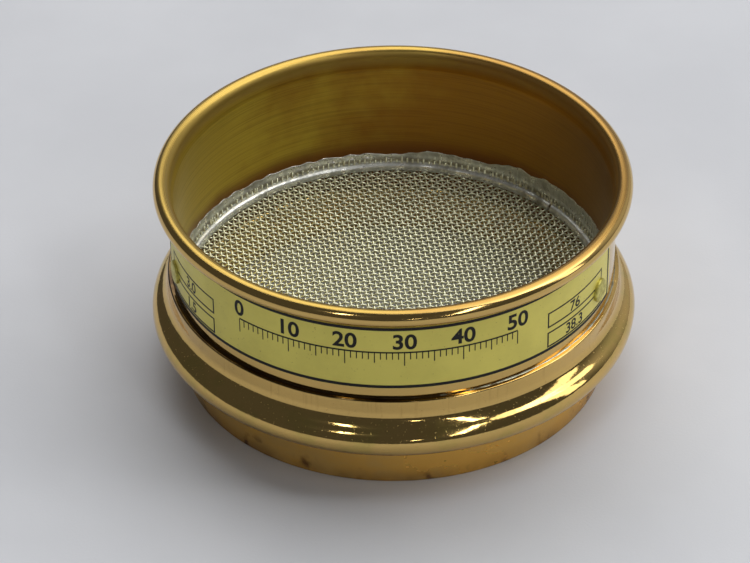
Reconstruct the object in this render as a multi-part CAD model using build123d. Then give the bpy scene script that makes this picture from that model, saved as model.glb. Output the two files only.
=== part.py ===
from build123d import *
from math import acos, cos, degrees, hypot, radians, sin
import os

# A three inch test sieve: a spun brass frame with a rolled rim, a skirt ring
# soldered round its foot, and a disc of woven wire cloth soldered inside it.
# Millimetres, +Z up. The origin is on the sieve's axis, on the surface it stands on.

# ---- Frame: one spun sheet, straight inside, its top rolled outwards
inside_radius = 38.1
frame_wall = 0.8
overall_height = 38.3
rim_roll_radius = 1.5
rim_roll_gap = 0.3
mouth_opening = 0.5
mouth_depth = 2.6

# ---- Skirt ring: skirt, bulge and collar spun from one sheet
nesting_clearance = 0.4
skirt_wall = 0.8
bulge_section_radius = 3.0
bulge_height = 11.3
crease_radius = 0.4
ledge_width = 1.7
shoulder_radius = 3.5
collar_straight = 2.3
collar_clearance = 0.08
collar_edge_round = 0.3
foot_round = 0.25
seat_clearance = 0.05

# ---- Wire cloth: a disc with its edge turned up against the frame
cloth_depth = 25.1
cloth_thickness = 0.8
web_thickness = 0.4
cloth_clearance = 0.05
turned_edge_show = 0.5
turned_edge_thickness = 0.4
cloth_margin = 1.6
strand_pitch = 5.7
strand_width = 2.3
weave_angle = 7.1
knuckle_width = 1.5
knuckle_length = 4.6
knuckle_bevel = 0.5
knuckle_root = 0.1

# ---- Hoop: a split half-round ring that holds the cloth down inside its turned edge
hoop_width = 0.9
hoop_height = 1.3
hoop_round = 0.75
hoop_clearance = 0.02
hoop_gap = 0.4
hoop_gap_azimuth = 40.0

# ---- Solder: a fillet over the cloth's turned edge, and a bead on top of the collar
solder_clearance = 0.02
fillet_toe = 0.25
fillet_climb = 2.1
fillet_top_thickness = 0.15
fillet_sag = 0.2
seam_width = 0.4
seam_height = 0.5

# ---- Nameplate: thin brass strip wrapped round the frame, riveted at each end
plate_length = 104.0
plate_gap_above = 0.1
plate_gap_below = 2.3
plate_thickness = 0.3
plate_azimuth = -94.0
plate_corner_radius = 0.4
rivet_inset = 5.1
rivet_drop = 2.35
rivet_head_radius = 2.1
rivet_head_height = 0.5
rivet_head_round = 0.3
rivet_shank_radius = 1.0
rivet_hole_clearance = 0.05

# ---- Places that follow from the sizes above
frame_radius = inside_radius + frame_wall
skirt_radius = inside_radius - nesting_clearance
plate_face_radius = frame_radius + plate_thickness
collar_radius = frame_radius + collar_clearance + skirt_wall
ledge_start = skirt_radius + crease_radius
ledge_height = bulge_height - bulge_section_radius
bulge_centre = (ledge_start + ledge_width, bulge_height)
cloth_top = overall_height - cloth_depth
cloth_bottom = cloth_top - cloth_thickness
cloth_radius = inside_radius - cloth_clearance
turned_radius = cloth_radius - turned_edge_thickness
hoop_top = cloth_top + hoop_height
turned_top = hoop_top + turned_edge_show
plate_turn = degrees(plate_length / plate_face_radius)
rivet_turn = plate_turn - 2 * degrees(rivet_inset / plate_face_radius)


def on_arc(centre, radius, angle):
    """Point at an angle, in degrees, on a circle of the section plane."""
    return (centre[0] + radius * cos(radians(angle)), centre[1] + radius * sin(radians(angle)))


def arc(centre, radius, start, end):
    """Circular arc of the section plane, from one angle to another."""
    middle = on_arc(centre, radius, (start + end) / 2)
    return ThreePointArc(on_arc(centre, radius, start), middle, on_arc(centre, radius, end))


def spun(edges):
    """Solid of revolution round the sieve's axis from a closed section."""
    return revolve(Plane.XZ * make_face(edges), Axis.Z)


# ---- The frame. Its sheet opens a little at the mouth, then rolls over outwards.
roll_centre = (inside_radius + mouth_opening + rim_roll_radius, overall_height - rim_roll_radius)
roll_bore = rim_roll_radius - frame_wall
mouth_start = roll_centre[1] - mouth_depth
roll_end_reach = mouth_opening + frame_radius + rim_roll_gap - roll_centre[0]
roll_end = -degrees(acos(roll_end_reach / rim_roll_radius))

# The frame's lower edge stands on the flat ledge inside the bulge.
frame_foot = ledge_height + skirt_wall + seat_clearance

upright = (0, 1)
mouth_inside = Spline(
    (inside_radius, mouth_start),
    (inside_radius + mouth_opening, roll_centre[1]),
    tangents=(upright, upright),
)
mouth_outside = Spline(
    (frame_radius + mouth_opening, roll_centre[1]),
    (frame_radius, mouth_start),
    tangents=((0, -1), (0, -1)),
)
frame_section = [
    Line((inside_radius, frame_foot), (inside_radius, mouth_start)),
    mouth_inside,
    arc(roll_centre, rim_roll_radius, 180, roll_end),
    Line(on_arc(roll_centre, rim_roll_radius, roll_end), on_arc(roll_centre, roll_bore, roll_end)),
    arc(roll_centre, roll_bore, roll_end, 180),
    mouth_outside,
    Line((frame_radius, mouth_start), (frame_radius, frame_foot)),
    Line((frame_radius, frame_foot), (inside_radius, frame_foot)),
]
upper_frame = spun(frame_section)

# ---- The skirt ring. Both faces of its sheet are one chain at two depths.
shoulder_x = collar_radius + shoulder_radius
shoulder_reach = bulge_section_radius + shoulder_radius
shoulder_turn = degrees(acos((shoulder_x - bulge_centre[0]) / shoulder_reach))
shoulder_centre = (shoulder_x, bulge_height + shoulder_reach * sin(radians(shoulder_turn)))
crease_centre = (ledge_start, ledge_height - crease_radius)
collar_top = shoulder_centre[1] + collar_straight


def ring_sheet(depth):
    """One face of the sheet, from the skirt's foot up to the collar's top."""
    return [
        Line((skirt_radius - depth, 0), (skirt_radius - depth, crease_centre[1])),
        arc(crease_centre, crease_radius + depth, 180, 90),
        Line((ledge_start, ledge_height + depth), (bulge_centre[0], ledge_height + depth)),
        arc(bulge_centre, bulge_section_radius - depth, -90, shoulder_turn),
        arc(shoulder_centre, shoulder_radius + depth, shoulder_turn + 180, 180),
        Line((collar_radius - depth, shoulder_centre[1]), (collar_radius - depth, collar_top)),
    ]


ring_foot = Line((skirt_radius - skirt_wall, 0), (skirt_radius, 0))
ring_top = Line((collar_radius - skirt_wall, collar_top), (collar_radius, collar_top))
skirt_ring = spun(ring_sheet(0) + [ring_top] + ring_sheet(skirt_wall) + [ring_foot])
foot_edges = skirt_ring.edges().filter_by_position(Axis.Z, 0, 0)
skirt_ring = fillet(foot_edges, foot_round)
collar_edge = skirt_ring.edges().filter_by_position(Axis.Z, collar_top, collar_top).sort_by(SortBy.RADIUS)[-1]
skirt_ring = fillet(collar_edge, collar_edge_round)

# ---- The wire cloth. Crossing strands leave square gaps, and each strand rides
# over one crossing and under the next, so the knuckles turn by a quarter each time.
clear_radius = cloth_radius - cloth_margin
gap = strand_pitch - strand_width
web_bottom = cloth_bottom + (cloth_thickness - web_thickness) / 2
knuckle_height = (cloth_thickness - web_thickness) / 2 + knuckle_root
rows = int(clear_radius // strand_pitch) + 1

gap_tool = Box(gap, gap, cloth_thickness * 2)
gap_tools = []
for i in range(-rows, rows):
    for j in range(-rows, rows):
        x = (i + 0.5) * strand_pitch
        y = (j + 0.5) * strand_pitch
        if hypot(abs(x) + gap / 2, abs(y) + gap / 2) < clear_radius:
            gap_tools.append(Pos(x, y, web_bottom) * gap_tool)

knuckle_foot = Rectangle(knuckle_length, knuckle_width)
knuckle_crest = Rectangle(knuckle_length - 2 * knuckle_bevel, knuckle_width - 2 * knuckle_bevel)
knuckle = loft([knuckle_foot, Pos(0, 0, knuckle_height) * knuckle_crest])
crest_root = web_bottom + web_thickness - knuckle_root
knuckles = []
for i in range(-rows, rows + 1):
    for j in range(-rows, rows + 1):
        x = i * strand_pitch
        y = j * strand_pitch
        if hypot(x, y) + knuckle_length / 2 < clear_radius:
            turn = 90 * ((i + j) % 2)
            over = Pos(x, y, crest_root) * Rot(0, 0, turn) * knuckle
            under = Pos(x, y, web_bottom + knuckle_root) * Rot(180, 0, turn + 90) * knuckle
            knuckles += [over, under]

lift = Align.CENTER, Align.CENTER, Align.MIN
web = Pos(0, 0, web_bottom) * Cylinder(clear_radius, web_thickness, align=lift) - gap_tools
woven = web + knuckles
cloth_edge = spun(
    Polyline(
        (clear_radius, cloth_bottom),
        (cloth_radius, cloth_bottom),
        (cloth_radius, turned_top),
        (turned_radius, turned_top),
        (turned_radius, cloth_top),
        (clear_radius, cloth_top),
        close=True,
    ).edges()
)
wire_cloth = Rot(0, 0, weave_angle) * (woven + cloth_edge)

# ---- The hoop, with its butt joint left open by a hair
hoop_outer = turned_radius - hoop_clearance
hoop_inner = hoop_outer - hoop_width
hoop_section = make_face(
    Polyline(
        (hoop_inner, cloth_top),
        (hoop_outer, cloth_top),
        (hoop_outer, hoop_top),
        (hoop_inner, hoop_top),
        close=True,
    )
)
round_corner = hoop_section.vertices().sort_by(Axis.X)[:2].sort_by(Axis.Y)[-1]
hoop_section = fillet(round_corner, hoop_round)
hoop_gap_turn = degrees(hoop_gap / hoop_inner)
hoop_start = hoop_gap_azimuth + hoop_gap_turn / 2
hoop_ring = revolve(Plane.XZ * hoop_section, Axis.Z, revolution_arc=360 - hoop_gap_turn)
cloth_hoop = Rot(0, 0, hoop_start) * hoop_ring

# ---- Solder fillet from the hoop's top over the turned edge, up the frame's wall
fillet_top = hoop_top + fillet_climb
fillet_foot = hoop_top + solder_clearance
toe = (turned_radius - fillet_toe, fillet_foot)
wall_crest = (inside_radius - fillet_top_thickness, fillet_top)
chord_middle = ((toe[0] + wall_crest[0]) / 2, (toe[1] + wall_crest[1]) / 2)
fillet_middle = (chord_middle[0] + fillet_sag, chord_middle[1] - fillet_sag)
fillet_face = ThreePointArc(toe, fillet_middle, wall_crest)
fillet_back = Polyline(
    wall_crest,
    (inside_radius, fillet_top),
    (inside_radius, turned_top + solder_clearance),
    (turned_radius - solder_clearance, turned_top + solder_clearance),
    (turned_radius - solder_clearance, fillet_foot),
    toe,
)
cloth_solder = spun([fillet_face] + fillet_back.edges())

# ---- Solder bead in the corner of the collar's top and the frame
seam_section = Polyline(
    (frame_radius, collar_top),
    (frame_radius + seam_width, collar_top),
    (frame_radius, collar_top + seam_height),
    close=True,
)
seam_solder = spun(seam_section.edges())

# ---- Nameplate and its rivets, one at each end
plate_start = plate_azimuth - plate_turn / 2
plate_bottom = collar_top + plate_gap_below
plate_height = mouth_start - plate_gap_above - plate_bottom
rivet_height = plate_bottom + plate_height / 2 - rivet_drop
plate_section = Pos(frame_radius + plate_thickness / 2, plate_bottom + plate_height / 2) * Rectangle(
    plate_thickness, plate_height
)
nameplate = revolve(Plane.XZ * plate_section, Axis.Z, revolution_arc=plate_turn)
corner_edges = nameplate.edges().filter_by(GeomType.LINE).filter_by(
    lambda edge: abs(edge.length - plate_thickness) < plate_thickness / 10
)
nameplate = Rot(0, 0, plate_start) * fillet(corner_edges, plate_corner_radius)


def radial_pin(radius, inner, outer):
    """Round bar along +X at the rivets' height, between two distances from the axis."""
    bar = Cylinder(radius, outer - inner, align=lift)
    return Pos(inner, 0, rivet_height) * Rot(0, 90, 0) * bar


def round_plug(radius):
    """Solid cylinder on the sieve's axis, tall enough to trim a rivet to a curved face."""
    return Cylinder(radius, overall_height * 2)


head_blank = radial_pin(rivet_head_radius, frame_radius - rivet_head_height, plate_face_radius + rivet_head_height)
head_rim = head_blank.edges().sort_by(Axis.X)[-1]
rivet_head = fillet(head_rim, rivet_head_round) - round_plug(plate_face_radius)
shank_inner = inside_radius - frame_wall
shank = radial_pin(rivet_shank_radius, shank_inner, plate_face_radius + rivet_head_height / 2)
rivet = rivet_head + (shank - round_plug(inside_radius))
rivet_hole = radial_pin(
    rivet_shank_radius + rivet_hole_clearance, shank_inner, plate_face_radius + rivet_head_height
)
rivets = {}
for name, side in (("rivet_left", -1), ("rivet_right", 1)):
    turned = Rot(0, 0, plate_azimuth + side * rivet_turn / 2)
    rivets[name] = turned * rivet
    nameplate -= turned * rivet_hole
    upper_frame -= turned * rivet_hole

# ---- Write one file for each piece
nodes = {
    "upper_frame": upper_frame,
    "skirt_ring": skirt_ring,
    "wire_cloth": wire_cloth,
    "cloth_hoop": cloth_hoop,
    "cloth_solder": cloth_solder,
    "seam_solder": seam_solder,
    "nameplate": nameplate,
    **rivets,
}
os.makedirs("parts", exist_ok=True)
for name, solid in nodes.items():
    export_step(solid, f"parts/{name}.step")
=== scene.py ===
from math import acos, cos, degrees, dist, pi, radians, sin, sqrt
from random import Random

import bpy
from mathutils import Euler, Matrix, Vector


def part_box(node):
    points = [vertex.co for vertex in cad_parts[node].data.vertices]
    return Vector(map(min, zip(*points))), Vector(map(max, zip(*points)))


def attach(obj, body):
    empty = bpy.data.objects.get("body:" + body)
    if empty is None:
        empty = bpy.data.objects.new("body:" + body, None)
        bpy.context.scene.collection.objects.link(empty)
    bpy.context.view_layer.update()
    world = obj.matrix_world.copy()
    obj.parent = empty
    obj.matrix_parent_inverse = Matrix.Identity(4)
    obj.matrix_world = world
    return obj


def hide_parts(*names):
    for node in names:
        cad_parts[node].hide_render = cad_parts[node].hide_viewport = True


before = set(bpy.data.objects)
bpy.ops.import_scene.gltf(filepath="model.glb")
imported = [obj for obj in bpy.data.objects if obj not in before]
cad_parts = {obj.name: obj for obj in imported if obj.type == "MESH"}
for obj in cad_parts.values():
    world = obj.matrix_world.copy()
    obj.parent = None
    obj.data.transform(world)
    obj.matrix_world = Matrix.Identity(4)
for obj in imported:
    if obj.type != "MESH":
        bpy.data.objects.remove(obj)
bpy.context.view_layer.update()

# ---- Skirt ring -------------------------------------------------------------
# The sieve's foot, spun from one brass sheet: a skirt, a flat ledge, a round bulge and
# a collar that is slipped over the frame and soldered. The bulge is polished. The
# skirt has gone orange, with brown stains, from standing in wet pans; the darkening
# at its foot is partly those stains and partly painted reflection of the floor's shadow.

sheet_wall = 0.0008
skirt_radius = 0.0377
collar_radius = 0.03978
bulge_section_radius = 0.003
bulge_height = 0.0113
crease_radius = 0.0004
shoulder_radius = 0.0035
foot_round = 0.00025
collar_round = 0.0003
ring_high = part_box("skirt_ring")[1]
collar_top = ring_high.z
bulge_centre = (ring_high.x - bulge_section_radius, bulge_height)
ledge_start = skirt_radius + crease_radius
ledge_height = bulge_height - bulge_section_radius


class Term:
    """A value in a material. Sums and products of terms and numbers add Math nodes."""

    def __init__(self, tree, socket=None):
        self.tree = tree
        self.socket = socket

    def node(self, kind, sockets, give=0, **settings):
        """Any node: its settings first, then its sockets' values or links."""
        made = self.tree.nodes.new("ShaderNode" + kind)
        for setting, value in settings.items():
            setattr(made, setting, value)
        for key, value in sockets.items():
            if isinstance(value, Term):
                self.tree.links.new(value.socket, made.inputs[key])
            else:
                made.inputs[key].default_value = value
        return Term(self.tree, made.outputs[give] if made.outputs else None)

    def maths(self, operation, first, second):
        return self.node("Math", {0: first, 1: second}, operation=operation)

    def __add__(self, other):
        return self.maths("ADD", self, other)

    def __sub__(self, other):
        return self.maths("SUBTRACT", self, other)

    def __mul__(self, other):
        return self.maths("MULTIPLY", self, other)

    def __truediv__(self, other):
        return self.maths("DIVIDE", self, other)

    def __rsub__(self, other):
        return self.maths("SUBTRACT", other, self)

    def __rtruediv__(self, other):
        return self.maths("DIVIDE", other, self)

    __radd__ = __add__
    __rmul__ = __mul__

    def between(self, low, high):
        """0 below low, 1 above high, and a smooth step between them."""
        steps = {"Value": self, "From Min": low, "From Max": high}
        return self.node("MapRange", steps, interpolation_type="SMOOTHSTEP")

    def stretched(self, x, y, z):
        return self.node("VectorMath", {0: self, 1: (x, y, z)}, operation="MULTIPLY")

    def along(self, direction):
        """How far a place lies along a direction, times that direction's length."""
        return self.node("VectorMath", {0: self, 1: direction}, give="Value", operation="DOT_PRODUCT")

    def length(self):
        return self.node("VectorMath", {0: self}, give="Value", operation="LENGTH")

    def noise(self, scale, detail=2.0, roughness=0.5):
        grain = {"Vector": self, "Scale": scale, "Detail": detail, "Roughness": roughness}
        return self.node("TexNoise", grain)

    def tint(self, low_colour, high_colour):
        """Colour that goes from one to the other as this term goes from 0 to 1."""
        colours = {0: self, 6: low_colour, 7: high_colour}
        return self.node("Mix", colours, give=2, data_type="RGBA")

    def bump(self, depth):
        """Surface normal of a relief whose height is this term times depth, in metres."""
        return self.node("Bump", {"Height": self, "Distance": depth, "Strength": 1.0})


def open_finish(name):
    """New material, with the place on the object in millimetres and that place's height."""
    material = bpy.data.materials.new(name)
    material.use_nodes = True
    material.node_tree.nodes.clear()
    empty = Term(material.node_tree)
    place = empty.node("TexCoord", {}, give="Object").stretched(1000, 1000, 1000)
    height = place.node("SeparateXYZ", {0: place}, give="Z")
    return material, place, height


def close_finish(place, **sockets):
    """Gives the material its surface. Underscores in the names stand for spaces."""
    named = {key.replace("_", " "): value for key, value in sockets.items()}
    surface = place.node("BsdfPrincipled", named)
    place.node("OutputMaterial", {"Surface": surface})


def swing(centre, radius, start, end, steps):
    """Points along an arc of a section, from one angle to another in degrees."""
    angles = [radians(start + (end - start) * k / steps) for k in range(steps + 1)]
    return [(centre[0] + radius * cos(a), centre[1] + radius * sin(a)) for a in angles]


def run(start, end, steps=1):
    """Points along a straight stretch of a section."""
    return [tuple(a + (b - a) * k / steps for a, b in zip(start, end)) for k in range(steps + 1)]


def section(*stretches):
    """A closed section, anticlockwise, without the points where two stretches meet."""
    points = [point for stretch in stretches for point in stretch]
    following = points[1:] + points[:1]
    return [here for here, ahead in zip(points, following) if dist(here, ahead) > 1e-7]


def skin(loops, endless=False):
    """Points and faces of a surface laid through a row of closed loops of points.
    Its two ends are capped, unless the row is endless and comes back to its start."""
    count = len(loops[0])
    points = [point for loop in loops for point in loop]
    faces = []
    rows = len(loops) if endless else len(loops) - 1
    for row in range(rows):
        here, there = row * count, (row + 1) % len(loops) * count
        for k in range(count):
            turn = (k + 1) % count
            faces.append((here + k, there + k, there + turn, here + turn))
    if not endless:
        faces.append(tuple(range(count)))
        faces.append(tuple(range(len(points) - count, len(points)))[::-1])
    return points, faces


def stood(outline, angle):
    """A section's points, stood up at an angle round the sieve's axis."""
    return [(r * cos(angle), r * sin(angle), z) for r, z in outline]


def spun(outline, steps=384):
    """Skin of a closed section turned all the way round the axis."""
    return skin([stood(outline, 2 * pi * k / steps) for k in range(steps)], endless=True)


def piece(name, skins, finish, slot, *nodes, crease=40):
    """One object made of skins, riding on the sieve and shown in place of its CAD nodes."""
    points, faces = [], []
    for skin_points, skin_faces in skins:
        start = len(points)
        points += skin_points
        faces += [tuple(start + k for k in face) for face in skin_faces]
    mesh = bpy.data.meshes.new(name)
    mesh.from_pydata(points, [], faces)
    mesh.polygons.foreach_set("use_smooth", [True] * len(mesh.polygons))
    mesh.set_sharp_from_angle(angle=radians(crease))
    mesh.materials.append(finish)
    made = bpy.data.objects.new(name, mesh)
    bpy.context.scene.collection.objects.link(made)
    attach(made, "root")
    if nodes:
        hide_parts(*nodes)


crease_centre = (ledge_start, ledge_height - crease_radius)
shoulder_reach = bulge_section_radius + shoulder_radius
shoulder_x = collar_radius + shoulder_radius
shoulder_turn = degrees(acos((shoulder_x - bulge_centre[0]) / shoulder_reach))
shoulder_centre = (shoulder_x, bulge_height + shoulder_reach * sin(radians(shoulder_turn)))


def ring_face(depth):
    """One face of the ring's sheet, from above its foot up to below its top edge."""
    collar_face = collar_radius - depth
    return (
        run((skirt_radius - depth, foot_round), (skirt_radius - depth, crease_centre[1]), 8)
        + swing(crease_centre, crease_radius + depth, 180, 90, 10)
        + run((ledge_start, ledge_height + depth), (bulge_centre[0], ledge_height + depth), 2)
        + swing(bulge_centre, bulge_section_radius - depth, -90, shoulder_turn, 36)
        + swing(shoulder_centre, shoulder_radius + depth, shoulder_turn + 180, 180, 12)
        + run((collar_face, shoulder_centre[1]), (collar_face, collar_top - collar_round), 4)
    )


ring_section = section(
    swing((skirt_radius - foot_round, foot_round), foot_round, -90, 0, 5),
    ring_face(0),
    swing((collar_radius - collar_round, collar_top - collar_round), collar_round, 0, 90, 6),
    [(collar_radius - sheet_wall, collar_top)],
    ring_face(sheet_wall)[::-1],
    swing((skirt_radius - sheet_wall + foot_round, foot_round), foot_round, 180, 270, 5),
)

bright_brass = (0.67, 0.45, 0.15, 1)
orange_brass = (0.84, 0.47, 0.085, 1)
stain_brown = (0.17, 0.075, 0.022, 1)
crevice_shade_brown = (0.05, 0.028, 0.012, 1)
olive_tarnish_reflection = (0.50, 0.40, 0.11, 1)


def lathe_marks(place, height, fineness):
    """Fine rings left in a spun surface, broken up along their length."""
    reach = place.stretched(1, 1, 0).length()
    turn = place.node("SeparateXYZ", {0: place}, give="X")
    grain = place.node("CombineXYZ", {0: reach * fineness, 1: height * fineness, 2: turn * 0.06})
    return grain.noise(1.0, detail=3.0, roughness=0.65)


ring_brass, place, height = open_finish("ring brass")
marks = lathe_marks(place, height, 5.0)
patches = place.noise(0.11, detail=4.0, roughness=0.6)
specks = place.noise(1.3, detail=4.0, roughness=0.7)
drips = place.stretched(1.6, 1.6, 0.12).noise(1.0, detail=3.0).between(0.56, 0.74)
dents = place.stretched(1, 1, 1.6).noise(0.3, detail=2.0, roughness=0.5)
on_skirt = 1 - height.between(7.6, 8.1)
flecks = place.noise(2.2, detail=3.0, roughness=0.6).between(0.64, 0.72) * (1 - on_skirt)
on_bulge = height.between(8.6, 9.8) * (1 - height.between(14.6, 15.6))
on_collar = height.between(15.2, 16.0)
# Olive patches on the bulge: partly tarnish, partly painted reflection that breaks up the bulge's dark
# band.
tarnish_and_reflection = place.noise(0.2, detail=5.0, roughness=0.65).between(0.44, 0.66)
spots = place.noise(0.24, detail=3.0, roughness=0.55).between(0.56, 0.74)
stains = spots * (1 - height.between(1.5, 4.5)) * 0.75
# Darker towards the foot: partly brown stain, partly painted reflection of the contact shadow on the
# floor.
foot_stain_and_shade = (1 - height.between(0.3, 3.4)) * (patches - 0.2).between(0, 0.5) * 0.55
# Painted shade: the collar's top edge is darkened in the crevice under the frame, except on its
# right-front side.
right_front_side = place.along((0.021, -0.015, 0.0))
crevice_painted_shade = height.between(18.7, 19.0) * (0.35 + patches) * (1 - right_front_side.between(0.65, 0.9))
clouds = place.stretched(1, 1, 1.7).noise(0.075, detail=5.0, roughness=0.6).between(0.38, 0.62)
metal = (on_skirt * (0.3 + clouds * 0.65)).tint(bright_brass, orange_brass)
metal = (tarnish_and_reflection * on_bulge * 0.5).tint(metal, olive_tarnish_reflection)
metal = (stains + foot_stain_and_shade + drips * on_collar * 0.2).tint(metal, stain_brown)
metal = crevice_painted_shade.tint(metal, crevice_shade_brown)
worn = on_skirt * (0.12 + clouds * 0.08) + flecks * 0.3 + tarnish_and_reflection * on_bulge * 0.05
relief = patches * 9 + (marks * 0.5 + specks * 0.8) * (1 - on_skirt) + drips * on_collar + flecks * 2
relief = relief + dents * on_bulge * 22
close_finish(
    place,
    Base_Color=metal,
    Metallic=1.0 - on_skirt * 0.4 - flecks * 0.4,
    Roughness=0.075 + worn + marks.between(0.5, 0.8) * (1 - on_skirt) * 0.04,
    Normal=relief.bump(0.0000018),
)
piece("foot_ring", [spun(ring_section)], ring_brass, "skirt_brass", "skirt_ring")

# ---- Frame ------------------------------------------------------------------
# The sieve's body: one spun brass sheet, opened a little at its mouth and rolled
# outwards over itself. Polished outside and satin inside. The inside is painted darker
# as shade, lighter olive on the left and browner on the right as painted light, with a
# painted band of shade just above the cloth; the rim is painted browner towards its right.

inside_radius = 0.0381
frame_radius = inside_radius + sheet_wall
roll_radius = 0.0015
roll_gap = 0.0003
mouth_opening = 0.0005
mouth_depth = 0.0026
frame_low, frame_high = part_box("upper_frame")
roll_centre = (inside_radius + mouth_opening + roll_radius, frame_high.z - roll_radius)
mouth_start = roll_centre[1] - mouth_depth
roll_end = -degrees(acos((mouth_opening + frame_radius + roll_gap - roll_centre[0]) / roll_radius))


def mouth_face(foot_radius, steps=12):
    """The sheet's gentle opening in section, from the straight wall up to the roll."""
    rise = [k / steps for k in range(steps + 1)]
    return [
        (foot_radius + mouth_opening * t * t * (3 - 2 * t), mouth_start + mouth_depth * t)
        for t in rise
    ]


frame_section = section(
    run((inside_radius, frame_low.z), (frame_radius, frame_low.z)),
    run((frame_radius, frame_low.z), (frame_radius, mouth_start), 16),
    mouth_face(frame_radius),
    swing(roll_centre, roll_radius - sheet_wall, 180, roll_end, 24),
    swing(roll_centre, roll_radius, roll_end, 180, 48),
    mouth_face(inside_radius)[::-1],
    run((inside_radius, mouth_start), (inside_radius, frame_low.z), 16),
)

inner_shaded_brass = (0.34, 0.155, 0.014, 1)
inner_lit_olive = (0.56, 0.40, 0.045, 1)
inner_dark = (0.09, 0.045, 0.010, 1)
low_wall_shade_brown = (0.20, 0.07, 0.012, 1)
rim_brass = (0.38, 0.255, 0.055, 1)
rim_shaded_brown = (0.31, 0.17, 0.04, 1)

frame_brass, place, height = open_finish("frame brass")
reach = place.stretched(1, 1, 0).length()
opened = height.between(34.2, 36.8) * 0.5
inner_side = 1 - (reach - opened).between(38.3, 38.75)
on_rim = (1 - reach.between(40.5, 41.1)) * height.between(35.0, 36.4)
marks = lathe_marks(place, height, 4.0)
patches = place.noise(0.07, detail=4.0, roughness=0.55)
specks = place.noise(0.9, detail=4.0, roughness=0.7)
# A painted band of shade and reflection on the inner wall, just above the solder, ragged at its top.
low_wall_shade = (1 - (height + patches * 3.0).between(18.3, 21.5)) * inner_side
# Painted light on the inner wall: darker brass inside as shade, lighter olive on the left and darker
# brown on the right, broken by random patches.
sideways = place.node("SeparateXYZ", {0: place}, give="X")
side_shade_and_patches = (sideways / 60 + patches).between(0.0, 0.6)
metal = side_shade_and_patches.tint(inner_lit_olive, inner_shaded_brass)
metal = (marks.between(0.42, 0.66) * patches * 0.5).tint(metal, inner_dark)
metal = inner_side.tint(bright_brass, metal)
metal = (low_wall_shade * 0.9).tint(metal, low_wall_shade_brown)
# The rim is painted browner towards its right side as shade, broken up by random patches.
rim_side_shade = (sideways / 70 + patches * 1.6).between(0.55, 1.25)
metal = (on_rim * 0.9).tint(metal, rim_side_shade.tint(rim_brass, rim_shaded_brown))
close_finish(
    place,
    Base_Color=metal,
    Metallic=1.0 - inner_side * 0.3,
    Roughness=0.1 + (inner_side * 0.18 + on_rim * 0.17) + marks.between(0.45, 0.75) * 0.06,
    Normal=(marks + specks * 0.4).bump(0.000004),
)
piece("frame", [spun(frame_section, 512)], frame_brass, "polished_brass", "upper_frame")

# ---- Wire cloth -------------------------------------------------------------
# Plain weave of bright drawn wire, 0.6 mm between wires. The disc was cut larger
# than the frame, so most wires end in a short tail turned up against the wall.

wire_pitch = 0.000985
wire_radius = 0.000195
weave_turn = radians(7.1)
cloth_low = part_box("wire_cloth")[0]
hoop_low, hoop_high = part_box("cloth_hoop")
weave_height = (cloth_low.z + hoop_low.z) / 2
tail_radius = 0.0377
tail_bend = 0.0005
tail_limit = 0.86
tail_rises = (0.0003, 0.0011)
tail_lean = 0.00008
plain_end_gap = 0.0003
stations = 4
wire_sides = 5
turned = Random(11)


def tube(path, heading, radius, sides):
    """Skin of a round wire along a path that stays in one upright plane."""
    loops = []
    across = (heading[1], -heading[0], 0)
    for k, here in enumerate(path):
        back, ahead = path[max(k - 1, 0)], path[min(k + 1, len(path) - 1)]
        forward = [b - a for a, b in zip(back, ahead)]
        size = sqrt(sum(part * part for part in forward))
        level = (forward[0] * heading[0] + forward[1] * heading[1]) / size
        climb = forward[2] / size
        top = (-heading[0] * climb, -heading[1] * climb, level)
        ring = []
        for j in range(sides):
            a = 2 * pi * (j + 0.5) / sides
            spokes = zip(here, across, top)
            ring.append(tuple(p + radius * (cos(a) * s + sin(a) * t) for p, s, t in spokes))
        loops.append(ring)
    return skin(loops)


def cloth_wire(number, direction, lift):
    """One wire of the cloth: its waves over and under, and its turned-up tails."""
    offset = number * wire_pitch
    heading = (cos(direction), sin(direction))
    reach = sqrt(tail_radius**2 - offset**2)
    tailed = abs(offset) < tail_limit * tail_radius
    flat_end = reach - (tail_bend if tailed else plain_end_gap)
    count = int(flat_end / wire_pitch * stations)
    outline = []
    for k in range(-count, count + 1):
        s = k * wire_pitch / stations
        wave = wire_radius * lift * (-1) ** number * cos(pi * s / wire_pitch)
        fade = min(1, (flat_end - abs(s)) / wire_pitch)
        outline.append((s, weave_height + wave * fade))
    if tailed:
        for side in (1, -1):
            top = hoop_high.z + turned.uniform(*tail_rises)
            lean = turned.uniform(-tail_lean, tail_lean)
            bend = swing((0, 0), tail_bend, -75, 0, 3)
            corner = (reach - tail_bend, weave_height + tail_bend)
            tail = [(side * (corner[0] + x), corner[1] + z) for x, z in bend]
            tail.append((side * (reach + lean), top))
            outline = outline + tail if side > 0 else tail[::-1] + outline
    path = []
    for s, z in outline:
        path.append((s * heading[0] - offset * heading[1], s * heading[1] + offset * heading[0], z))
    return tube(path, heading, wire_radius, wire_sides)


wire_bright = (0.82, 0.82, 0.60, 1)
wire_dull = (0.42, 0.40, 0.29, 1)

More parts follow.
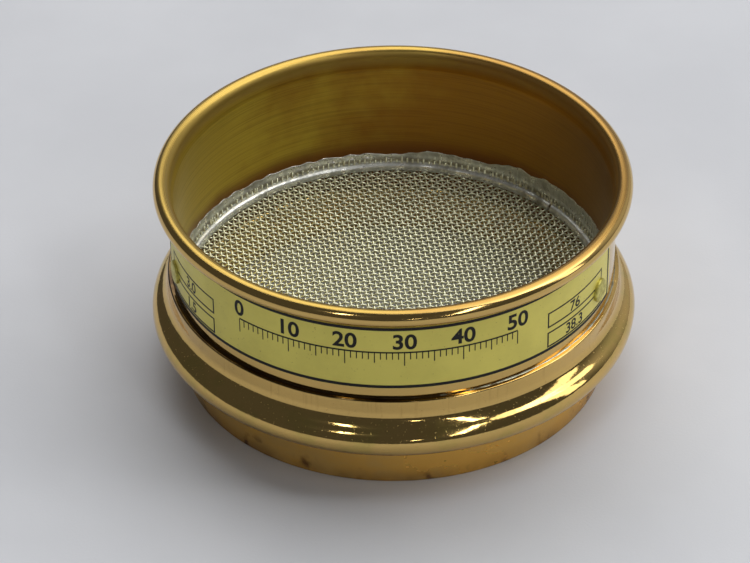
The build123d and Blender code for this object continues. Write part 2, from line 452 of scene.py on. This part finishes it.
wire_steel, place, height = open_finish("cloth wire")
drawn = place.stretched(1, 1, 3).noise(1.6, detail=3.0, roughness=0.6)
dust = place.noise(0.16, detail=3.0)
dulled = drawn.between(0.35, 0.75) * 0.35 + dust.between(0.4, 0.7) * 0.15
close_finish(
    place,
    Base_Color=dulled.tint(wire_bright, wire_dull),
    Metallic=1.0,
    Roughness=0.3 + dulled * 0.15,
    Normal=drawn.bump(0.0000007),
)
farthest = int(tail_radius / wire_pitch)
for name, direction, lift in (("warp", weave_turn, 1), ("weft", weave_turn + pi / 2, -1)):
    wires = [cloth_wire(number, direction, lift) for number in range(-farthest, farthest + 1)]
    nodes = ("wire_cloth",) if name == "warp" else ()
    piece(f"cloth_{name}", wires, wire_steel, "cloth_wire", *nodes, crease=180)

# ---- Hoop -------------------------------------------------------------------
# A half-round tinned ring, sprung in over the cloth's edge to hold it down. Its two
# ends meet in a butt joint that is left open by a hair.

hoop_width = 0.0009
hoop_round = 0.00075
crown_swell = 0.00003
crown_drop = 0.00004
hoop_gap = radians(0.75)
hoop_gap_turn = radians(40)
hoop_outer = hoop_high.x
hoop_inner = hoop_outer - hoop_width
hoop_steps = 360


def hoop_section(turn):
    """The hoop's section, its crown a little higher or lower from place to place."""
    swell = crown_swell * (sin(9 * turn) + sin(23 * turn + 1))
    crown = hoop_high.z + swell - crown_drop
    crown_centre = (hoop_inner + hoop_round, crown - hoop_round)
    return section(
        run((hoop_inner, hoop_low.z), (hoop_outer, hoop_low.z)),
        swing((hoop_outer - hoop_round / 5, crown - hoop_round / 5), hoop_round / 5, 0, 90, 3),
        swing(crown_centre, hoop_round, 90, 180, 10),
    )


tin_bright = (0.88, 0.89, 0.82, 1)
tin_grey = (0.48, 0.50, 0.47, 1)
flux_and_shade_brown = (0.20, 0.18, 0.11, 1)

tin, place, height = open_finish("tin solder")
lumps = place.noise(0.55, detail=4.0, roughness=0.6)
grain = place.noise(4.5, detail=3.0, roughness=0.6)
stained = place.noise(0.13, detail=4.0).between(0.5, 0.68) * lumps.between(0.4, 0.6)
metal = (lumps.between(0.35, 0.65) * 0.8).tint(tin_bright, tin_grey)
metal = (stained * 0.6).tint(metal, flux_and_shade_brown)
# Painted shade in the groove between the hoop and the solder film; the same brown also serves for real
# flux stains.
groove_shade = height.between(14.5, 14.7) * (1 - height.between(14.9, 15.7))
metal = (groove_shade * 0.75).tint(metal, flux_and_shade_brown)
on_wall = height.between(15.7, 16.3)
metal = (on_wall * 0.4).tint(metal, flux_and_shade_brown)
close_finish(
    place,
    Base_Color=metal,
    Metallic=0.7,
    Roughness=0.24 + lumps.between(0.35, 0.7) * 0.2 + stained * 0.2,
    Normal=(lumps * 2.0 + grain * 0.4).bump(0.00002),
)
hoop_start = hoop_gap_turn + hoop_gap / 2
hoop_turns = [hoop_start + (2 * pi - hoop_gap) * k / hoop_steps for k in range(hoop_steps + 1)]
hoop_skin = skin([stood(hoop_section(turn), turn) for turn in hoop_turns])
piece("cloth_hoop_ring", [hoop_skin], tin, "tin_solder", "cloth_hoop")

# ---- Cloth solder -----------------------------------------------------------
# Soft solder run round the joint of cloth and frame. It wicked up between the wires'
# tails, which left a fine comb, and it ends on the wall in a ragged edge.

comb_teeth = 246
comb_depth = 0.00007
film_thickness = 0.00012
film_foot = 0.0003
film_swells = (0.00004, 0.0001, 0.00016)
edge_drops = (0.00006, 0.0003, 0.0009)
base_rises = (0.0006, 0.0002)
hoop_clearance = 0.00001
solder_steps = comb_teeth * 6
ragged = Random(5)
solder_tops = {19: 18.4, 43: 18.3, 49: 17.4, 53: 18.1, 57: 17.6, 65: 16.4, 81: 16.9, 89: 15.9}
solder_tops.update({107: 16.4, 129: 16.5, 146: 16.8, 164: 17.0, 200: 16.6, 260: 17.1, 320: 17.8})
edge_waves = []
for _ in range(9):
    count, phase = ragged.uniform(12, 90), ragged.uniform(0, 2 * pi)
    edge_waves.append((round(count), phase, ragged.uniform(0.02, 0.07)))


def solder_edge(turn):
    """Height of the solder's ragged upper edge at an angle round the frame."""
    angle = degrees(turn) % 360
    spots = sorted(solder_tops)
    after = next((spot for spot in spots if spot > angle), spots[0] + 360)
    before = spots[spots.index(after % 360) - 1]
    if before > angle:
        before -= 360
    share = (angle - before) / (after - before)
    top = solder_tops[before % 360] * (1 - share) + solder_tops[after % 360] * share
    for count, phase, size in edge_waves:
        top += size * sin(count * turn + phase)
    return top / 1000


def solder_section(turn):
    """The film's section: comb over the wires' tails, then up the wall to its edge."""
    comb = comb_depth * (0.5 + 0.5 * cos(comb_teeth * turn))
    edge = solder_edge(turn)
    foot = hoop_high.z - film_foot
    face = inside_radius - film_thickness
    return [
        (hoop_outer + hoop_clearance, foot),
        (inside_radius, foot),
        (inside_radius, edge),
        (face + film_swells[0], edge - edge_drops[0]),
        (face, edge - edge_drops[1]),
        (face - comb * 0.6, edge - edge_drops[2]),
        (face - film_swells[0] - comb, (edge + hoop_high.z) / 2),
        (face - film_swells[1] - comb, hoop_high.z + base_rises[0]),
        (face - film_swells[2] - comb, hoop_high.z + base_rises[1]),
    ]


solder_turns = [2 * pi * k / solder_steps for k in range(solder_steps)]
film = skin([stood(solder_section(turn), turn) for turn in solder_turns], endless=True)
piece("solder_film", [film], tin, "tin_solder", "cloth_solder", crease=60)

# ---- Seam solder ------------------------------------------------------------
# A thin bead of the same solder in the corner between the collar and the frame. It is
# dark all round, except for a bright stretch on its right-front side.

seam_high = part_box("seam_solder")[1]
seam_width = seam_high.x - frame_radius
seam_height = seam_high.z - collar_top
seam_steps = 720


def seam_section(turn):
    """The bead's section, hollow in the middle, and thicker or thinner along its length."""
    size = 0.36 + 0.16 * sin(17 * turn + 1) * sin(41 * turn) + 0.06 * sin(97 * turn)
    width, climb = seam_width * size, seam_height * size
    return [
        (frame_radius, collar_top),
        (frame_radius + width, collar_top),
        (frame_radius + width * 0.45, collar_top + climb * 0.22),
        (frame_radius + width * 0.18, collar_top + climb * 0.5),
        (frame_radius, collar_top + climb),
    ]


seam_tin = (0.50, 0.50, 0.38, 1)
seam_dark = (0.035, 0.022, 0.010, 1)

seam_grey, place, height = open_finish("seam solder")
lumps = place.noise(0.7, detail=4.0, roughness=0.6)
right_front_side = place.along((0.021, -0.015, 0.0))
# Dark all round, except for a bright stretch on the right-front side.
bright_stretch = (right_front_side + lumps * 0.4).between(0.95, 1.15)
close_finish(
    place,
    Base_Color=(bright_stretch * (0.45 + lumps)).tint(seam_dark, seam_tin),
    Metallic=0.9,
    Roughness=0.55 - bright_stretch * 0.25,
    Normal=lumps.bump(0.00008),
)
seam_turns = [2 * pi * k / seam_steps for k in range(seam_steps)]
bead = skin([stood(seam_section(turn), turn) for turn in seam_turns], endless=True)
piece("solder_bead", [bead], seam_grey, "tin_solder", "seam_solder", crease=80)

# ---- Nameplate --------------------------------------------------------------
# A strip of thin brass wrapped round the front of the frame. Its face is lacquered
# yellow, dulled a little by handling.

plate_low, plate_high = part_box("nameplate")
plate_length = 0.104
plate_thickness = 0.0003
plate_middle = radians(-94)
plate_corner = 0.0004
plate_radius = frame_radius + plate_thickness
plate_steps = 240


def plate_turn(reach):
    """Angle round the frame of a place on the plate, from its distance along the face."""
    return plate_middle + reach / plate_radius


def plate_section(reach):
    """The plate's section, which narrows where its corners are rounded."""
    short = max(0.0, plate_corner - (plate_length / 2 - abs(reach)))
    inset = plate_corner - sqrt(max(0.0, plate_corner**2 - short**2))
    low, high = plate_low.z + inset, plate_high.z - inset
    lip = plate_thickness / 5
    return [
        (frame_radius, low),
        (plate_radius - lip, low),
        (plate_radius, low + lip),
        (plate_radius, high - lip),
        (plate_radius - lip, high),
        (frame_radius, high),
    ]


corner_reaches = [plate_length / 2 - plate_corner * (1 - sin(pi / 2 * k / 5)) for k in range(6)]
straight_length = plate_length - 2 * plate_corner
middle_reaches = [(k / plate_steps - 0.5) * straight_length for k in range(1, plate_steps)]
plate_reaches = [-reach for reach in corner_reaches[::-1]] + middle_reaches + corner_reaches

lacquer_yellow = (0.80, 0.70, 0.145, 1)
lacquer_dull = (0.68, 0.59, 0.12, 1)

plate_lacquer, place, height = open_finish("plate lacquer")
wear = place.noise(0.12, detail=4.0, roughness=0.6)
rub = place.stretched(1, 1, 5).noise(0.5, detail=4.0, roughness=0.7)
flecks = place.noise(2.6, detail=2.0).between(0.70, 0.76)
metal = (wear.between(0.35, 0.7) * 0.6).tint(lacquer_yellow, lacquer_dull)
metal = (flecks * 0.6).tint(metal, stain_brown)
close_finish(
    place,
    Base_Color=metal,
    Metallic=0.4,
    Roughness=0.33 + rub.between(0.4, 0.75) * 0.12,
    Normal=(rub + wear).bump(0.000006),
)
plate_skin = skin([stood(plate_section(reach), plate_turn(reach)) for reach in plate_reaches])
piece("plate", [plate_skin], plate_lacquer, "plate_print", "nameplate")

# ---- Print ------------------------------------------------------------------
# Black ink on the plate: a border, two pairs of boxes that hold the sieve's width and
# height in inches and in millimetres, and a plain scale of fifty millimetres.

ink_thickness = 0.00002
ink_radius = plate_radius + ink_thickness
thin_line = 0.0003
border_line = 0.0006
border_inset = 0.0006
border_foot = 0.0001
border_top = 0.00005
border_end = plate_length / 2 - border_inset
box_inner = 0.0315
box_outer = 0.0478
box_height = 0.00315
box_rows = (0.02635, 0.02225)
box_numbers = (("3.0", -0.039, 0), ("1.5", -0.039, 1), ("76", 0.0385, 0), ("38.3", 0.0385, 1))
box_number_size = 0.0029
box_number_rise = 0.00055
box_number_weight = 0.00004
scale_end = 0.025
scale_foot = 0.0288
scale_spacing = 0.001
tick_line = 0.00018
tick_lengths = [-0.0026] + [-0.0013] * 4 + [-0.002] + [-0.0013] * 4
scale_number_size = 0.0042
scale_number_foot = 0.0297
scale_number_weight = 0.0001
ink_step = 0.0008


def inked(start, end, low, high):
    """Skin of a rectangle of ink, from one distance along the plate to another."""
    steps = max(1, int((end - start) / ink_step))
    reaches = [start + (end - start) * k / steps for k in range(steps + 1)]
    flat = [(plate_radius, low), (ink_radius, low), (ink_radius, high), (plate_radius, high)]
    return skin([stood(flat, plate_turn(reach)) for reach in reaches])


def framed(start, end, low, high, line):
    """Skins of an ink frame, its outer edges at the four places given."""
    return [
        inked(start, end, low, low + line),
        inked(start, end, high - line, high),
        inked(start, start + line, low + line, high - line),
        inked(end - line, end, low + line, high - line),
    ]


def numbered(text, middle, foot, size, weight):
    """Skin of a plain number, standing on a height and centred on a place of the plate."""
    curve = bpy.data.curves.new("number", "FONT")
    curve.body = text
    curve.size = size
    curve.offset = weight
    curve.align_x = "CENTER"
    curve.extrude = ink_thickness / 2
    letters = bpy.data.objects.new("number", curve)
    mesh = bpy.data.meshes.new_from_object(letters)
    points = []
    for vertex in mesh.vertices:
        turn = plate_turn(middle + vertex.co.x)
        out = plate_radius + ink_thickness / 2 + vertex.co.z
        points.append((out * cos(turn), out * sin(turn), foot + vertex.co.y))
    faces = [tuple(polygon.vertices) for polygon in mesh.polygons]
    bpy.data.objects.remove(letters)
    bpy.data.meshes.remove(mesh)
    bpy.data.curves.remove(curve)
    return points, faces


def graduated(start, end, spacing, foot, lengths, line):
    """Skins of a row of ticks. Each takes its length from its turn in the lengths."""
    count = round((end - start) / spacing)
    ticks = []
    for k in range(count + 1):
        middle = start + k * spacing
        tall = lengths[k % len(lengths)]
        low, high = sorted((foot, foot + tall))
        ticks.append(inked(middle - line / 2, middle + line / 2, low, high))
    return ticks


border_heights = (plate_low.z + border_foot, plate_high.z - border_top)
print_skins = framed(-border_end, border_end, *border_heights, border_line)
for side in (-1, 1):
    start, end = sorted((side * box_inner, side * box_outer))
    for low in box_rows:
        print_skins += framed(start, end, low, low + box_height, thin_line)
for text, middle, row in box_numbers:
    foot = box_rows[row] + box_number_rise
    print_skins.append(numbered(text, middle, foot, box_number_size, box_number_weight))
print_skins.append(inked(-scale_end, scale_end, scale_foot, scale_foot + thin_line))
print_skins += graduated(-scale_end, scale_end, scale_spacing, scale_foot, tick_lengths, tick_line)
for k in range(6):
    middle = -scale_end + k * 0.01
    number = numbered(str(k * 10), middle, scale_number_foot, scale_number_size, scale_number_weight)
    print_skins.append(number)

ink_black = (0.008, 0.007, 0.006, 1)
ink_faded = (0.022, 0.019, 0.013, 1)

black_ink, place, height = open_finish("black ink")
worn_ink = place.noise(1.3, detail=4.0, roughness=0.7).between(0.45, 0.75)
close_finish(
    place,
    Base_Color=worn_ink.tint(ink_black, ink_faded),
    Roughness=0.5 + worn_ink * 0.15,
    Specular_IOR_Level=0.3,
    Normal=worn_ink.bump(0.000004),
)
piece("plate_ink", print_skins, black_ink, "plate_print", crease=30)

# ---- Rivets -----------------------------------------------------------------
# Two soft brass rivets through the plate and the frame, one at each end of the plate.
# Their heads are flat and their tails are dressed flush inside.

rivet_inset = 0.0051
rivet_drop = 0.00235
rivet_reach = plate_length / 2 - rivet_inset
rivet_height = (plate_low.z + plate_high.z) / 2 - rivet_drop
head_radius = 0.0021
head_height = 0.0005
head_round = 0.0003
head_dome = 0.00003
shank_radius = 0.001
tail_proud = 0.00003
rivet_sides = 40


def rivet(reach):
    """Skin of one rivet, from its tail inside the frame to the top of its head."""
    turn = plate_turn(reach)
    outward, sideways = (cos(turn), sin(turn)), (-sin(turn), cos(turn))
    head_top = plate_radius + head_height
    rounded = swing((head_radius - head_round, head_top - head_round), head_round, 0, 90, 5)
    profile = [
        (shank_radius * 0.8, inside_radius - tail_proud),
        (shank_radius, inside_radius),
        (shank_radius, frame_radius),
        (head_radius, frame_radius),
        *rounded,
        (head_radius * 0.4, head_top + head_dome),
    ]
    rings = []
    for wide, out in profile:
        ring = []
        for k in range(rivet_sides):
            a = 2 * pi * k / rivet_sides
            level = [out * o + wide * cos(a) * s for o, s in zip(outward, sideways)]
            ring.append((*level, rivet_height + wide * sin(a)))
        rings.append(ring)
    return skin(rings)


rivet_bright = (0.66, 0.60, 0.15, 1)
rivet_dull = (0.44, 0.38, 0.09, 1)

rivet_brass, place, height = open_finish("rivet brass")
dents = place.noise(1.4, detail=4.0, roughness=0.6)
close_finish(
    place,
    Base_Color=dents.between(0.35, 0.7).tint(rivet_bright, rivet_dull),
    Metallic=0.8,
    Roughness=0.36 + dents.between(0.3, 0.7) * 0.15,
    Normal=dents.bump(0.00003),
)
for name, side in (("left", -1), ("right", 1)):
    piece(f"{name}_rivet", [rivet(side * rivet_reach)], rivet_brass, "rivet_brass", f"rivet_{name}")

# ---- Studio -----------------------------------------------------------------
# A plain pale floor, a broad soft lamp overhead, smaller ones in front and at the
# sides, a dim room, and the camera in front of the sieve and above it.

floor_half = 2.0
floor_light = (0.62, 0.63, 0.66, 1)
floor_dark = (0.57, 0.58, 0.61, 1)
room_dark = (0.080, 0.081, 0.085, 1)
room_bright = (0.50, 0.50, 0.50, 1)
camera_place = (0.006015, -0.479559, 0.369587)
camera_turn = (53.4942, 0.4845, 0.7496)
lens_length = 161.6
sensor_width = 36.0

floor_mesh = bpy.data.meshes.new("floor")
floor_corners = [(x * floor_half, y * floor_half, 0) for x, y in ((-1, -1), (1, -1), (1, 1), (-1, 1))]
floor_mesh.from_pydata(floor_corners, [], [(0, 1, 2, 3)])
floor = bpy.data.objects.new("floor", floor_mesh)
bpy.context.scene.collection.objects.link(floor)
floor_paint, place, height = open_finish("floor paint")
mottle = place.noise(0.02, detail=4.0)
close_finish(
    place,
    Base_Color=mottle.between(0.3, 0.7).tint(floor_dark, floor_light),
    Roughness=0.6,
    Normal=place.noise(2.0, detail=3.0).bump(0.00002),
)
floor_mesh.materials.append(floor_paint)


def lamp(name, azimuth, elevation, distance, width, height, power, roll=0):
    """Soft rectangular lamp, placed by its direction from the sieve and turned towards it.
    Angles are in degrees, lengths in metres and the power in watts."""
    light = bpy.data.lights.new(name, "AREA")
    light.shape = "RECTANGLE"
    light.size = width
    light.size_y = height
    light.energy = power
    made = bpy.data.objects.new(name, light)
    turn, climb = radians(azimuth), radians(elevation)
    level = distance * cos(climb)
    made.location = (level * cos(turn), level * sin(turn), distance * sin(climb))
    aimed = Euler((pi / 2 - climb, 0, turn + pi / 2)).to_matrix()
    rolled = Euler((0, 0, radians(roll))).to_matrix()
    made.rotation_euler = (aimed @ rolled).to_euler()
    bpy.context.scene.collection.objects.link(made)


lamp("overhead", azimuth=62, elevation=65, distance=1.8, width=3.1, height=1.5, power=33.5)
lamp("long_strip", azimuth=-52, elevation=42, distance=1.94, width=1.2, height=0.14, power=4.0, roll=63)
lamp("right_window", azimuth=-4, elevation=32, distance=1.5, width=0.32, height=1.3, power=2.9)
lamp("left_window", azimuth=-117, elevation=51, distance=1.6, width=0.10, height=0.28, power=1.0)
lamp("front_strip", azimuth=-80, elevation=19, distance=1.6, width=0.09, height=0.05, power=0.2)
lamp("side_strip", azimuth=-64, elevation=24, distance=1.6, width=0.07, height=0.04, power=0.14)

world = bpy.data.worlds.new("room")
world.use_nodes = True
world.node_tree.nodes.clear()
room = Term(world.node_tree)
outwards = room.node("TexCoord", {}, give="Generated")
bright_side = outwards.along((0.40, 0.75, 0.53))
glow = bright_side.between(0.45, 1.0).tint(room_dark, room_bright)
room.node("OutputWorld", {"Surface": room.node("Background", {"Color": glow, "Strength": 1.0})})
bpy.context.scene.world = world

camera = bpy.data.objects.new("camera", bpy.data.cameras.new("camera"))
camera.location = camera_place
camera.rotation_euler = [radians(turn) for turn in camera_turn]
camera.data.lens = lens_length
camera.data.sensor_width = sensor_width
camera.data.clip_start = 0.01
bpy.context.scene.collection.objects.link(camera)
bpy.context.scene.camera = camera
bpy.context.scene.view_settings.view_transform = "Standard"
